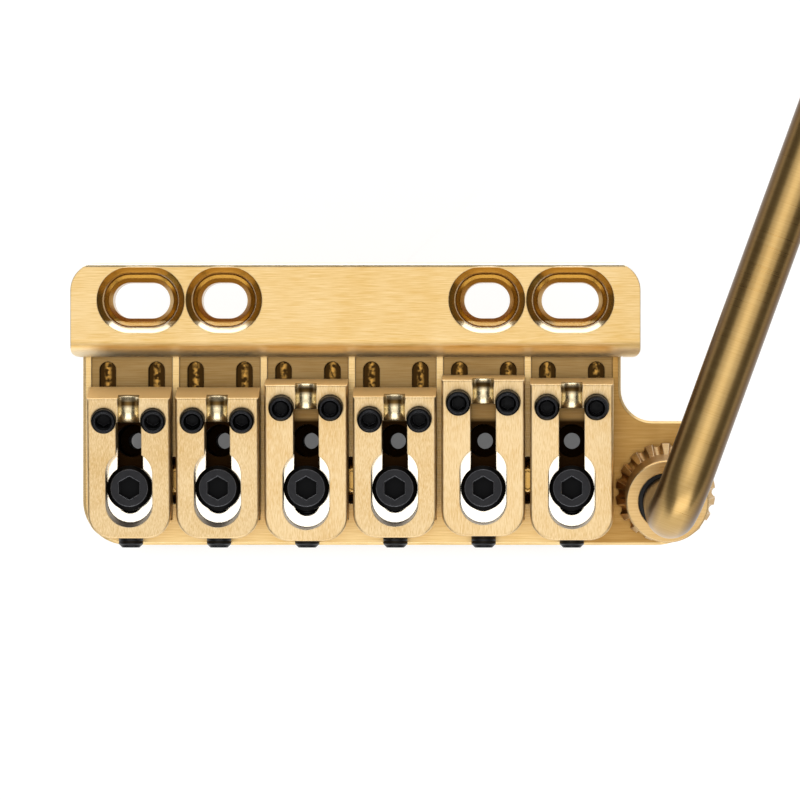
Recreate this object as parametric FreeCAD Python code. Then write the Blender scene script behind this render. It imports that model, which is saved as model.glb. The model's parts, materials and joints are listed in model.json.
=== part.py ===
"""Six-string tremolo bridge: a fixed bar, a plate that rocks on it, six saddles and an arm.

Millimetres. The origin is on the guitar's top, midway along the bar's line of screw slots.
X runs towards the arm, Y towards the neck and Z away from the guitar.
Sizes named front are measured ahead of the slot line, those named back or rear behind it.
"""
import FreeCAD, Part
import math
import os

vec = FreeCAD.Vector
UP = vec(0, 0, 1)
ACROSS = vec(1, 0, 0)
ALONG = vec(0, 1, 0)

# String row
string_pitch = 10.8
row_offset = -0.5

# Fits
thread_gap = 0.03
press_gap = 0.01
side_gap = 0.3

# Mounting bar
bar_overhang = 1.9
bar_rear = 6.9
bar_front_land = 0.5
bar_front_corner = 3.4
bar_rear_corner = 0.9
bar_front_round = 0.6
bar_nose_round = 2.2
nose_thickness = 2.3
nose_gap = 0.9
relief_gap = 1.1
slot_width = 4.4
outer_slot_inset = 8.6
outer_slot_length = 7.0
inner_slot_length = 5.6
slot_land = 0.1
lip_width = 0.7
lip_depth = 0.65
wall_width = 0.25
wall_depth = 0.9
seat_width = 0.45
seat_depth = 0.4
throat_width = 0.5
throat_depth = 1.2

# Pivot
pivot_inset = 1.8
pivot_height = 3.0
pin_diameter = 2.0
pin_inset = 0.2
bearing_wall = 1.0
knuckle_wall = 0.5
knuckle_width = 3.2

# Base plate
plate_margin = 0.6
plate_ahead = 0.8
plate_rear = 30.0
plate_bottom = 2.4
plate_thickness = 3.4
plate_corner = 5.4
plate_edge = 0.3
rib_width = 0.85
pocket_depth = 0.7
heel_land = 3.1
groove_width = 2.0
groove_depth = 1.5
groove_ahead = 0.6
groove_behind = 3.0
hole_ahead = 5.8
string_hole_diameter = 4.0

# Ear and arm axis
ear_round = 6.65
ear_ahead = 8.55
ear_shoulder_ahead = 3.55
ear_shoulder_inset = 2.6
ear_reach = 5.5
ear_notch = 3.9
ear_corner = 1.5
lean_back_deg = 7.5
lean_side_deg = 1.3

# Inertia block
block_end_wall = 3.0
block_rear_inset = 3.6
block_front_wall = 1.3
block_depth = 36.0
block_edge = 0.8
well_depth = 10.0
string_bore_diameter = 2.0
string_bore_length = 8.0
ball_bore_diameter = 4.0
spring_hole_diameter = 2.4
spring_hole_depth = 9.0

# Block screws
block_screw_inset = 7.95
block_screw_diameter = 3.0
block_screw_length = 11.0
block_head_step = 1.1
block_head_height = 1.6
block_head_rim = 0.4
block_head_taper = 1.2
block_recess_gap = 0.3
block_recess_depth = 1.8
block_socket = 2.0
block_socket_depth = 1.0

# Clamp screws
clamp_inset = 7.0
clamp_diameter = 2.9
clamp_head_step = 1.3
clamp_head_height = 3.0
clamp_head_edge = 0.5
clamp_socket = 2.5
clamp_socket_depth = 1.9
clamp_end_gap = 0.2
clamp_seat_gap = 0.05

# Saddles
saddle_gap = 0.65
saddle_height = 7.0
short_saddle = 17.5
long_saddle = 19.2
saddle_corner = 3.0
saddle_edge = 0.3
channel_width = 3.1
bearing_length = 2.9
crown_back = 1.5
crown_radius = 2.6
crown_drop = 0.9
string_groove_radius = 1.35
ledge_wall = 0.4
clamp_slot_gap = 0.1
clamp_slot_length = 9.5
clamp_slot_wall = 1.4
ledge_rear = 1.7
seat_gap = 0.02

# Height screws
height_spacing = 6.0
height_inset = 2.75
height_diameter = 3.0
height_length = 13.2
height_tip_diameter = 1.7
height_tip_clear = 0.7
height_tip_gap = 0.05
height_socket = 1.5
height_socket_depth = 1.8
height_mouth = 0.35
height_chamfer = 0.25

# Intonation screws
intonation_height = 2.4
intonation_diameter = 3.0
intonation_length = 5.8
intonation_chamfer = 0.45
intonation_gap = 0.05

# Arm socket, wheel and arm, with heights along the arm's axis from the ear's top face
arm_diameter = 6.0
arm_gap = 0.05
bush_wall = 0.48
bush_gap = 0.02
neck_wall = 0.65
neck_foot = -2.7
socket_floor = 0.4
wheel_rim = 1.9
wheel_taper = 1.1
wheel_foot = 1.3
wheel_height = 2.4
wheel_base = 0.5
wheel_gap = 0.05
wheel_end_gap = 0.3
wheel_side_gap = 0.25
wheel_teeth = 18
notch_radius = 0.6
collar_step = 0.85
collar_height = 6.0
collar_chamfer = 0.15
mouth_depth = 0.25
ring_height = 0.5
ring_gap = 0.05
arm_chamfer = 0.5
arm_stem = 10.3
arm_bend = 6.5
arm_turn_deg = 19.8
arm_run = 92.0
arm_end_bend = 40.0
arm_end_deg = 16.0
arm_end_run = 48.0
tip_wall = 1.0
tip_length = 15.0
tip_bore_depth = 8.0
tip_flat = 0.8
tip_gap = 0.02

# Name, saddle length, distance of the top face's rear end from the plate's, and tilt in degrees,
# from the bass side
strings = [
    ("low_e", short_saddle, 0.8, 12.0),
    ("a", short_saddle, 0.8, 11.0),
    ("d", long_saddle, 0.5, 6.4),
    ("g", short_saddle, 0.9, 9.6),
    ("b", long_saddle, 1.1, 5.0),
    ("high_e", long_saddle, 0.6, 6.6),
]

# The row of strings sets the plate's width, and the plate the bar's length
plate_width = len(strings) * string_pitch + 2 * plate_margin
plate_left = row_offset - plate_width / 2
plate_right = row_offset + plate_width / 2
bar_length = plate_width + 2 * bar_overhang
block_length = (len(strings) - 1) * string_pitch + 2 * block_end_wall
middle_string = (len(strings) - 1) / 2
string_x = {entry[0]: row_offset + (i - middle_string) * string_pitch for i, entry in enumerate(strings)}
gap_x = [row_offset + (i + 0.5 - middle_string) * string_pitch for i in range(len(strings) - 1)]
block_screw_x = gap_x[0::2]
saddle_width = string_pitch - saddle_gap

# Heights
plate_top = plate_bottom + plate_thickness
pocket_floor = plate_top - pocket_depth
groove_floor = pocket_floor - groove_depth
bar_height = plate_top + nose_gap + nose_thickness
heel_z = plate_top + seat_gap
intonation_z = plate_top + intonation_height
ledge_z = intonation_z + intonation_diameter / 2 + ledge_wall
clamp_seat_z = ledge_z + clamp_seat_gap
block_bottom = plate_bottom - block_depth

# Distances behind the slot line
countersink_flare = lip_width + wall_width + seat_width + throat_width
bar_front = slot_width / 2 + countersink_flare + bar_front_land
pivot_back = bar_rear - pivot_inset
plate_front = pivot_back - plate_ahead
relief_wall = plate_front - relief_gap
groove_front = bar_rear + groove_ahead
pocket_rear = plate_rear - heel_land
clamp_back = plate_rear - clamp_inset
string_hole_back = clamp_back - hole_ahead
block_screw_back = plate_rear - block_screw_inset
block_front = string_hole_back - string_hole_diameter / 2 - block_front_wall
block_rear = plate_rear - block_rear_inset
spring_hole_back = (block_front + block_rear) / 2
arm_back = plate_rear - ear_round

# Slots, screws and knuckles
outer_slot_spacing = bar_length - 2 * outer_slot_inset
slot_step = (outer_slot_length + inner_slot_length) / 2 + 2 * countersink_flare + slot_land
inner_slot_spacing = outer_slot_spacing - 2 * slot_step
bearing_diameter = pin_diameter + 2 * bearing_wall
knuckle_diameter = bearing_diameter + 2 * knuckle_wall
knuckles = [(plate_left, plate_left + knuckle_width), (plate_right - knuckle_width, plate_right)]
block_head_diameter = block_screw_diameter + 2 * block_head_step
block_recess_diameter = block_head_diameter + 2 * block_recess_gap
clamp_head_diameter = clamp_diameter + 2 * clamp_head_step
clamp_slot_width = clamp_head_diameter + 2 * clamp_slot_gap
height_tip_length = groove_depth + height_tip_clear

# Arm group
bush_bore = arm_diameter / 2 + arm_gap
socket_bore = bush_bore + bush_wall + bush_gap
neck_radius = socket_bore + neck_wall
collar_radius = neck_radius + collar_step
wheel_radius = neck_radius + wheel_rim
wheel_top = wheel_foot + wheel_height
collar_foot = wheel_top + wheel_end_gap
collar_top = collar_foot + collar_height
ring_top = collar_top - mouth_depth
ring_foot = ring_top - ring_height
bush_top = ring_foot - ring_gap
arm_stem_top = collar_top + arm_stem
tip_radius = arm_diameter / 2 + tip_wall
arm_side = string_x["high_e"] + saddle_width / 2 + wheel_side_gap + wheel_radius
arm_seat = vec(arm_side, -arm_back, plate_top)
lean_back = math.tan(math.radians(lean_back_deg))
lean_side = math.tan(math.radians(lean_side_deg))
arm_axis = vec(lean_side, -lean_back, 1).normalize()
arm_frame = FreeCAD.Placement(arm_seat, FreeCAD.Rotation(UP, arm_axis))


def box(x0, x1, y0, y1, z0, z1):
    """A block between two opposite corners."""
    return Part.makeBox(x1 - x0, y1 - y0, z1 - z0, vec(x0, y0, z0))


def rod(radius, start, end):
    """A round rod between two points."""
    reach = end - start
    return Part.makeCylinder(radius, reach.Length, start, reach)


def upright(radius, x, y, z0, z1):
    """An upright round rod between two heights."""
    return rod(radius, vec(x, y, z0), vec(x, y, z1))


def stadium(start, end, radius):
    """A closed flat wire with round ends about two points at one height."""
    ahead = (end - start).normalize()
    aside = UP.cross(ahead) * radius
    edges = [
        Part.LineSegment(start - aside, end - aside).toShape(),
        Part.Arc(end - aside, end + ahead * radius, end + aside).toShape(),
        Part.LineSegment(end + aside, start + aside).toShape(),
        Part.Arc(start + aside, start - ahead * radius, start - aside).toShape(),
    ]
    return Part.Wire(edges)


def stadium_prism(start, end, radius, height):
    """A round-ended slot standing on two points."""
    return Part.Face(stadium(start, end, radius)).extrude(UP * height)


def slot_along(x, y0, y1, width, z0, z1):
    """A round-ended slot along Y, measured over its ends."""
    radius = width / 2
    return stadium_prism(vec(x, y0 + radius, z0), vec(x, y1 - radius, z0), radius, z1 - z0)


def outline(corners):
    """A closed wire at height zero through corners given as x, y and rounding radius."""
    points = [vec(x, y, 0) for x, y, radius in corners]
    ends = []
    arcs = []
    for i, (x, y, radius) in enumerate(corners):
        back = (points[i - 1] - points[i]).normalize()
        ahead = (points[(i + 1) % len(points)] - points[i]).normalize()
        half = back.getAngle(ahead) / 2
        inward = (back + ahead).normalize()
        entry = points[i] + back * (radius / math.tan(half))
        leave = points[i] + ahead * (radius / math.tan(half))
        ends.append((entry, leave))
        if radius > 0:
            middle = points[i] + inward * (radius / math.sin(half) - radius)
            arcs.append(Part.Arc(entry, middle, leave).toShape())
        else:
            arcs.append(None)
    edges = []
    for i, arc in enumerate(arcs):
        if arc:
            edges.append(arc)
        edges.append(Part.LineSegment(ends[i][1], ends[(i + 1) % len(ends)][0]).toShape())
    return Part.Wire(edges)


def slab(corners, z0, z1):
    """A flat slab with rounded corners between two heights."""
    solid = Part.Face(outline(corners)).extrude(UP * (z1 - z0))
    solid.translate(UP * z0)
    return solid


def turned(profile):
    """A solid of revolution about Z from radius and height pairs."""
    points = [vec(radius, 0, height) for radius, height in profile + profile[:1]]
    return Part.Face(Part.makePolygon(points)).revolve(vec(0, 0, 0), UP, 360)


def hex_recess(across_flats, mouth_z, depth):
    """A six-sided drive recess going down from a height on the Z axis."""
    corner = across_flats / math.sqrt(3)
    turns = [math.radians(60 * i + 30) for i in range(7)]
    points = [vec(corner * math.cos(turn), corner * math.sin(turn), mouth_z) for turn in turns]
    return Part.Face(Part.makePolygon(points)).extrude(UP * -depth)


def placed(shape, placement):
    """A copy of a shape moved to a place."""
    moved = shape.copy()
    moved.Placement = placement.multiply(moved.Placement)
    return moved


def at(x, y, z):
    """A place without any turn."""
    return FreeCAD.Placement(vec(x, y, z), FreeCAD.Rotation())


def edges_at(shape, z):
    """The edges that lie wholly at one height."""
    return [e for e in shape.Edges if abs(e.BoundBox.ZMin - z) < 1e-4 and abs(e.BoundBox.ZMax - z) < 1e-4]


def bar_slots():
    """Each slot of the bar as its centre and its length."""
    slots = []
    for side in (-0.5, 0.5):
        slots.append((side * outer_slot_spacing, outer_slot_length))
        slots.append((side * inner_slot_spacing, inner_slot_length))
    return slots


def countersink(start, end):
    """A stepped sink for a screw's head: a flared lip, a steep wall, a sloped seat and a throat."""
    side = slot_width / 2 + countersink_flare
    z = bar_height
    tiers = []
    for width, depth in (
        (lip_width, lip_depth),
        (wall_width, wall_depth),
        (seat_width, seat_depth),
        (throat_width, throat_depth),
    ):
        high = stadium(start + UP * z, end + UP * z, side)
        low = stadium(start + UP * (z - depth), end + UP * (z - depth), side - width)
        tiers.append(Part.makeLoft([low, high], True, True))
        side = side - width
        z = z - depth
    return tiers


def bar_blank():
    """The bar's solid form: a section with two rounded top edges, trimmed to its plan."""
    half = bar_length / 2
    diagonal = math.sqrt(0.5)
    foot_rear = vec(-half, -bar_rear, 0)
    foot_front = vec(-half, bar_front, 0)
    front_centre = vec(-half, bar_front - bar_front_round, bar_height - bar_front_round)
    nose_centre = vec(-half, bar_nose_round - bar_rear, bar_height - bar_nose_round)
    front_low = front_centre + ALONG * bar_front_round
    front_high = front_centre + UP * bar_front_round
    nose_high = nose_centre + UP * bar_nose_round
    nose_low = nose_centre - ALONG * bar_nose_round
    front_middle = front_centre + vec(0, diagonal, diagonal) * bar_front_round
    nose_middle = nose_centre + vec(0, -diagonal, diagonal) * bar_nose_round
    edges = [
        Part.LineSegment(foot_rear, foot_front).toShape(),
        Part.LineSegment(foot_front, front_low).toShape(),
        Part.Arc(front_low, front_middle, front_high).toShape(),
        Part.LineSegment(front_high, nose_high).toShape(),
        Part.Arc(nose_high, nose_middle, nose_low).toShape(),
        Part.LineSegment(nose_low, foot_rear).toShape(),
    ]
    section = Part.Face(Part.Wire(edges)).extrude(ACROSS * bar_length)
    plan = [
        (-half, -bar_rear, bar_rear_corner),
        (half, -bar_rear, bar_rear_corner),
        (half, bar_front, bar_front_corner),
        (-half, bar_front, bar_front_corner),
    ]
    return section.common(slab(plan, 0, bar_height))


def mounting_bar():
    """The fixed bar, hollowed at the rear for the front of the plate and its knuckles."""
    cuts = []
    radius = slot_width / 2
    for x, length in bar_slots():
        reach = length / 2 - radius
        start = vec(x - reach, 0, 0)
        end = vec(x + reach, 0, 0)
        cuts.append(stadium_prism(start, end, radius, bar_height))
        cuts.extend(countersink(start, end))
    left = plate_left - side_gap
    right = plate_right + side_gap
    cuts.append(box(left, right, -bar_rear, -relief_wall, 0, bar_height - nose_thickness))
    reach = knuckle_diameter / 2 + side_gap
    for x0, x1 in knuckles:
        pocket_front = reach - pivot_back
        pocket_top = pivot_height + reach
        cuts.append(box(x0 - side_gap, x1 + side_gap, -bar_rear, pocket_front, 0, pocket_top))
    half = bar_length / 2
    hole = pin_diameter / 2 + press_gap
    for x0, x1 in ((-half, left), (right, half)):
        cuts.append(rod(hole, vec(x0, -pivot_back, pivot_height), vec(x1, -pivot_back, pivot_height)))
    return bar_blank().cut(cuts)


def pivot_pins():
    """Two pins pressed into the bar's cheeks, each reaching through a knuckle."""
    outer = bar_length / 2 - pin_inset
    spans = [(-outer, knuckles[0][1]), (knuckles[1][0], outer)]
    pins = []
    for x0, x1 in spans:
        start = vec(x0, -pivot_back, pivot_height)
        pins.append(rod(pin_diameter / 2, start, vec(x1, -pivot_back, pivot_height)))
    return Part.makeCompound(pins)


def pivot_bearings():
    """A plain bearing ring in each knuckle."""
    rings = []
    for x0, x1 in knuckles:
        start = vec(x0, -pivot_back, pivot_height)
        end = vec(x1, -pivot_back, pivot_height)
        ring = rod(bearing_diameter / 2, start, end)
        rings.append(ring.cut(rod(pin_diameter / 2 + thread_gap, start, end)))
    return Part.makeCompound(rings)


def base_plate():
    """The rocking plate: saddle pockets between ribs, two knuckles and an ear for the arm."""
    ear_right = arm_side + ear_reach
    corners = [
        (plate_left, -plate_front, 0),
        (plate_left, -plate_rear, plate_corner),
        (ear_right, -plate_rear, ear_round),
        (ear_right, ear_shoulder_ahead - arm_back, ear_corner),
        (ear_right - ear_shoulder_inset, ear_ahead - arm_back, ear_corner),
        (plate_right, ear_ahead - arm_back, ear_notch),
        (plate_right, -plate_front, 0),
    ]
    plate = slab(corners, plate_bottom, plate_top)
    plate = plate.makeChamfer(plate_edge, edges_at(plate, plate_top))
    barrels = []
    cuts = []
    for x0, x1 in knuckles:
        start = vec(x0, -pivot_back, pivot_height)
        end = vec(x1, -pivot_back, pivot_height)
        barrels.append(rod(knuckle_diameter / 2, start, end))
        cuts.append(rod(bearing_diameter / 2 + press_gap, start, end))
    plate = plate.fuse(barrels)
    pocket_half = (string_pitch - rib_width) / 2
    groove_rear = max(height_tip(*entry)[0] for entry in strings) + groove_behind
    for x in string_x.values():
        cuts.append(box(x - pocket_half, x + pocket_half, -pocket_rear, 0, pocket_floor, bar_height))
        cuts.append(upright(string_hole_diameter / 2, x, -string_hole_back, 0, plate_top))
        cuts.append(upright(clamp_diameter / 2 + press_gap, x, -clamp_back, 0, plate_top))
        for side in (-0.5, 0.5):
            groove_x = x + side * height_spacing
            groove = slot_along(groove_x, -groove_rear, -groove_front, groove_width, groove_floor, plate_top)
            cuts.append(groove)
    recess_floor = plate_top - block_recess_depth
    for x in block_screw_x:
        cuts.append(upright(block_recess_diameter / 2, x, -block_screw_back, recess_floor, bar_height))
        cuts.append(upright(block_screw_diameter / 2 + press_gap, x, -block_screw_back, 0, plate_top))
    ear_bore = rod(neck_radius + press_gap, UP * -bar_height, UP * bar_height)
    cuts.append(placed(ear_bore, arm_frame))
    return plate.cut(cuts)


def inertia_block():
    """The block under the plate: string bores for the ball ends, and spring holes below."""
    half = block_length / 2
    block = box(row_offset - half, row_offset + half, -block_rear, -block_front, block_bottom, plate_bottom)
    block = block.makeChamfer(block_edge, [e for e in block.Edges if e.BoundBox.ZMin < plate_bottom - 1])
    cuts = []
    well_floor = plate_bottom - well_depth
    ball_top = well_floor - string_bore_length
    for x in string_x.values():
        cuts.append(upright(string_hole_diameter / 2, x, -string_hole_back, well_floor, plate_bottom))
        cuts.append(upright(string_bore_diameter / 2, x, -string_hole_back, block_bottom, plate_bottom))
        cuts.append(upright(ball_bore_diameter / 2, x, -string_hole_back, block_bottom, ball_top))
    for x in gap_x:
        spring_top = block_bottom + spring_hole_depth
        cuts.append(upright(spring_hole_diameter / 2, x, -spring_hole_back, block_bottom, spring_top))
    tip = plate_top - block_recess_depth - block_screw_length
    for x in block_screw_x:
        cuts.append(upright(block_screw_diameter / 2 + press_gap, x, -block_screw_back, tip, plate_bottom))
    return block.cut(cuts)


def block_screws():
    """The screws that hold the block, with tapered heads sunk in the plate."""
    radius = block_screw_diameter / 2
    head = block_head_diameter / 2
    profile = [
        (0, -block_screw_length),
        (radius, -block_screw_length),
        (radius, 0),
        (head, 0),
        (head, block_head_rim),
        (head - block_head_taper, block_head_height),
        (0, block_head_height),
    ]
    screw = turned(profile).cut(hex_recess(block_socket, block_head_height, block_socket_depth))
    seat = plate_top - block_recess_depth
    return Part.makeCompound([placed(screw, at(x, -block_screw_back, seat)) for x in block_screw_x])


def clamp_screws():
    """The cap screws that hold the saddles down, one in each saddle's slot."""
    radius = clamp_diameter / 2
    head = clamp_head_diameter / 2
    foot = plate_bottom + clamp_end_gap - clamp_seat_z
    profile = [
        (0, foot),
        (radius, foot),
        (radius, 0),
        (head, 0),
        (head, clamp_head_height - clamp_head_edge),
        (head - clamp_head_edge, clamp_head_height),
        (0, clamp_head_height),
    ]
    screw = turned(profile).cut(hex_recess(clamp_socket, clamp_head_height, clamp_socket_depth))
    return Part.makeCompound([placed(screw, at(x, -clamp_back, clamp_seat_z)) for x in string_x.values()])


def saddle_frame(name, setback, tilt):
    """The place of a saddle: its heel on the plate and its front tipped up."""
    heel_y = saddle_height * math.sin(math.radians(tilt)) + setback - plate_rear
    return FreeCAD.Placement(vec(string_x[name], heel_y, heel_z), FreeCAD.Rotation(ACROSS, tilt))


def saddle(name, length, setback, tilt):
    """A saddle: a grooved crown for the string in front and a stepped clamp slot behind."""
    half = saddle_width / 2
    plan = [
        (-half, 0, saddle_corner),
        (half, 0, saddle_corner),
        (half, length, 0),
        (-half, length, 0),
    ]
    body = slab(plan, 0, saddle_height)
    body = body.makeFillet(saddle_edge, edges_at(body, saddle_height))
    crown = vec(0, length - crown_back, saddle_height - crown_drop - crown_radius)
    groove = Part.makeTorus(crown_radius + string_groove_radius, string_groove_radius, crown, ACROSS)
    keep = box(-half, half, 0, 2 * length, crown.z, 2 * saddle_height)
    cuts = [groove.common(keep)]
    for side in (-0.5, 0.5):
        bore_x = side * height_spacing
        bore = height_diameter / 2 + thread_gap
        cuts.append(upright(bore, bore_x, length - height_inset, 0, saddle_height))
    frame = saddle_frame(name, setback, tilt)
    body = placed(body.cut(cuts), frame)
    x = string_x[name]
    top = body.BoundBox.ZMax
    rear_y = setback - plate_rear
    channel_rear = rear_y + clamp_slot_wall + ledge_rear
    channel_front = rear_y + length * math.cos(math.radians(tilt)) - bearing_length
    channel_half = channel_width / 2
    slot_end = clamp_slot_wall + clamp_slot_length
    slot = placed(slot_along(0, clamp_slot_wall, slot_end, clamp_slot_width, 0, saddle_height), frame)
    bore = intonation_diameter / 2 + thread_gap
    cuts = [
        slot_along(x, channel_rear, channel_front, channel_width, plate_top, top),
        box(x - channel_half, x + channel_half, rear_y + slot_end, channel_front, plate_top, top),
        slot.common(box(x - half, x + half, rear_y, 0, ledge_z, top)),
        rod(bore, vec(x, rear_y, intonation_z), vec(x, channel_rear + channel_half, intonation_z)),
    ]
    return body.cut(cuts)


def height_tip(name, length, setback, tilt):
    """How far back a height screw's tip stands, and its height in the saddle's own frame."""
    lean_in = math.radians(tilt)
    along = length - height_inset
    tip = height_tip_diameter / 2
    drop = groove_floor + height_tip_gap - heel_z + (tip - along) * math.sin(lean_in)
    local = vec(0, along, drop / math.cos(lean_in))
    return -saddle_frame(name, setback, tilt).multVec(local).y, local.z


def height_screw(name, length, setback, tilt, side):
    """A set screw through the saddle whose tip stands in one of the plate's grooves."""
    radius = height_diameter / 2
    tip = height_tip_diameter / 2
    profile = [
        (0, 0),
        (tip, 0),
        (tip, height_tip_length),
        (radius, height_tip_length),
        (radius, height_length - height_chamfer),
        (radius - height_chamfer, height_length),
        (0, height_length),
    ]
    drive = height_socket / 2
    mouth_foot = height_length - height_mouth
    mouth = turned([
        (0, mouth_foot),
        (drive, mouth_foot),
        (drive + height_mouth, height_length),
        (0, height_length),
    ])
    screw = turned(profile).cut([mouth, hex_recess(height_socket, height_length, height_socket_depth)])
    back, foot = height_tip(name, length, setback, tilt)
    screw = placed(screw, at(side * height_spacing, length - height_inset, foot))
    return placed(screw, saddle_frame(name, setback, tilt))


def intonation_screw(name):
    """A set screw in the saddle's rear wall whose tip bears on the clamp screw."""
    radius = intonation_diameter / 2
    end = radius - intonation_chamfer
    profile = [
        (0, 0),
        (end, 0),
        (radius, intonation_chamfer),
        (radius, intonation_length - intonation_chamfer),
        (end, intonation_length),
        (0, intonation_length),
    ]
    screw = turned(profile).cut(hex_recess(height_socket, intonation_length, height_socket_depth))
    tip = vec(string_x[name], -clamp_back - clamp_diameter / 2 - intonation_gap, intonation_z)
    return placed(screw, FreeCAD.Placement(tip, FreeCAD.Rotation(UP, -ALONG)))


def arm_socket():
    """The collar that takes the arm, on a closed neck through the ear."""
    profile = [
        (0, neck_foot),
        (neck_radius, neck_foot),
        (neck_radius, collar_foot),
        (collar_radius, collar_foot),
        (collar_radius, collar_top - collar_chamfer),
        (collar_radius - collar_chamfer, collar_top),
        (socket_bore, collar_top),
        (socket_bore, neck_foot + socket_floor),
        (0, neck_foot + socket_floor),
    ]
    return placed(turned(profile), arm_frame)


def sleeve(z0, z1):
    """A thin sleeve between the socket's bore and the arm."""
    outer = socket_bore - bush_gap
    return placed(turned([(bush_bore, z0), (outer, z0), (outer, z1), (bush_bore, z1)]), arm_frame)


def tension_wheel():
    """The tapered, toothed wheel on the neck, between the ear and the collar."""
    shoulder = wheel_foot + wheel_base
    rim = wheel_radius - wheel_taper
    bore = neck_radius + wheel_gap
    profile = [
        (bore, wheel_foot),
        (wheel_radius, wheel_foot),
        (wheel_radius, shoulder),
        (rim, wheel_top),
        (bore, wheel_top),
    ]
    slope = vec(-wheel_taper, 0, wheel_top - shoulder)
    middle = vec(wheel_radius, 0, shoulder) + slope / 2
    notch = rod(notch_radius, middle - slope * 1.5, middle + slope * 1.5)
    notches = []
    for i in range(wheel_teeth):
        turn = FreeCAD.Rotation(UP, 360 * i / wheel_teeth)
        notches.append(placed(notch, FreeCAD.Placement(vec(0, 0, 0), turn)))
    return placed(turned(profile).cut(notches), arm_frame)


def arm_line():
    """The arm's centre line in the arm's own frame, with its end and its last direction."""
    turn = math.radians(arm_turn_deg)
    out = vec(math.sin(turn), math.cos(turn), 0)
    diagonal = math.sqrt(0.5)
    foot = UP * (neck_foot + socket_floor + arm_gap)
    stem_end = UP * arm_stem_top
    bend_centre = stem_end + out * arm_bend
    bend_middle = bend_centre + (UP - out) * (arm_bend * diagonal)
    bend_end = bend_centre + UP * arm_bend
    run_end = bend_end + out * arm_run
    dip = math.radians(arm_end_deg)
    dip_centre = run_end - UP * arm_end_bend
    dip_middle = dip_centre + (UP * math.cos(dip / 2) + out * math.sin(dip / 2)) * arm_end_bend
    dip_end = dip_centre + (UP * math.cos(dip) + out * math.sin(dip)) * arm_end_bend
    last = out * math.cos(dip) - UP * math.sin(dip)
    end = dip_end + last * arm_end_run
    edges = [
        Part.LineSegment(foot, stem_end).toShape(),
        Part.Arc(stem_end, bend_middle, bend_end).toShape(),
        Part.LineSegment(bend_end, run_end).toShape(),
        Part.Arc(run_end, dip_middle, dip_end).toShape(),
        Part.LineSegment(dip_end, end).toShape(),
    ]
    return foot, edges, end, last


def tremolo_arm():
    """The bent round arm that stands in the socket."""
    foot, edges, end, last = arm_line()
    ring = Part.Wire([Part.Circle(foot, UP, arm_diameter / 2).toShape()])
    arm = Part.Wire(edges).makePipeShell([ring], True, False)
    arm = arm.makeChamfer(arm_chamfer, edges_at(arm, foot.z))
    return placed(arm, arm_frame)


def arm_tip():
    """A rounded tip pushed over the arm's free end."""
    foot, edges, end, last = arm_line()
    start = end - last * tip_bore_depth
    far = start + last * tip_length
    tip = rod(tip_radius, start, far)
    rim = [e for e in tip.Edges if (e.CenterOfMass - far).Length < 1e-3]
    tip = tip.makeFillet(tip_radius - tip_flat, rim)
    bore = rod(arm_diameter / 2 + tip_gap, start, end)
    return placed(tip.cut(bore), arm_frame)


def pieces():
    """Every piece by its name."""
    found = {
        "mounting_bar": mounting_bar(),
        "pivot_pins": pivot_pins(),
        "base_plate": base_plate(),
        "pivot_bearings": pivot_bearings(),
        "inertia_block": inertia_block(),
        "block_screws": block_screws(),
        "clamp_screws": clamp_screws(),
        "arm_socket": arm_socket(),
        "arm_bush": sleeve(neck_foot + socket_floor, bush_top),
        "socket_o_ring": sleeve(ring_foot, ring_top),
        "tension_wheel": tension_wheel(),
        "tremolo_arm": tremolo_arm(),
        "arm_tip": arm_tip(),
    }
    for name, length, setback, tilt in strings:
        found["saddle_" + name] = saddle(name, length, setback, tilt)
        found["height_screw_" + name + "_left"] = height_screw(name, length, setback, tilt, -0.5)
        found["height_screw_" + name + "_right"] = height_screw(name, length, setback, tilt, 0.5)
        found["intonation_screw_" + name] = intonation_screw(name)
    return found


os.makedirs("parts", exist_ok=True)
for node, shape in pieces().items():
    shape.exportStep("parts/" + node + ".step")
    print(node, len(shape.Solids), "solids", round(shape.Volume, 2), "mm3, valid:", shape.isValid())
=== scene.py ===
"""Looks of a six-string tremolo bridge in brushed brass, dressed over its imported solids."""

import json
import logging
import math
from dataclasses import dataclass
from enum import Enum
from typing import Any, Dict, List, Optional, Tuple

import bpy
from mathutils import Matrix, Vector

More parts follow.
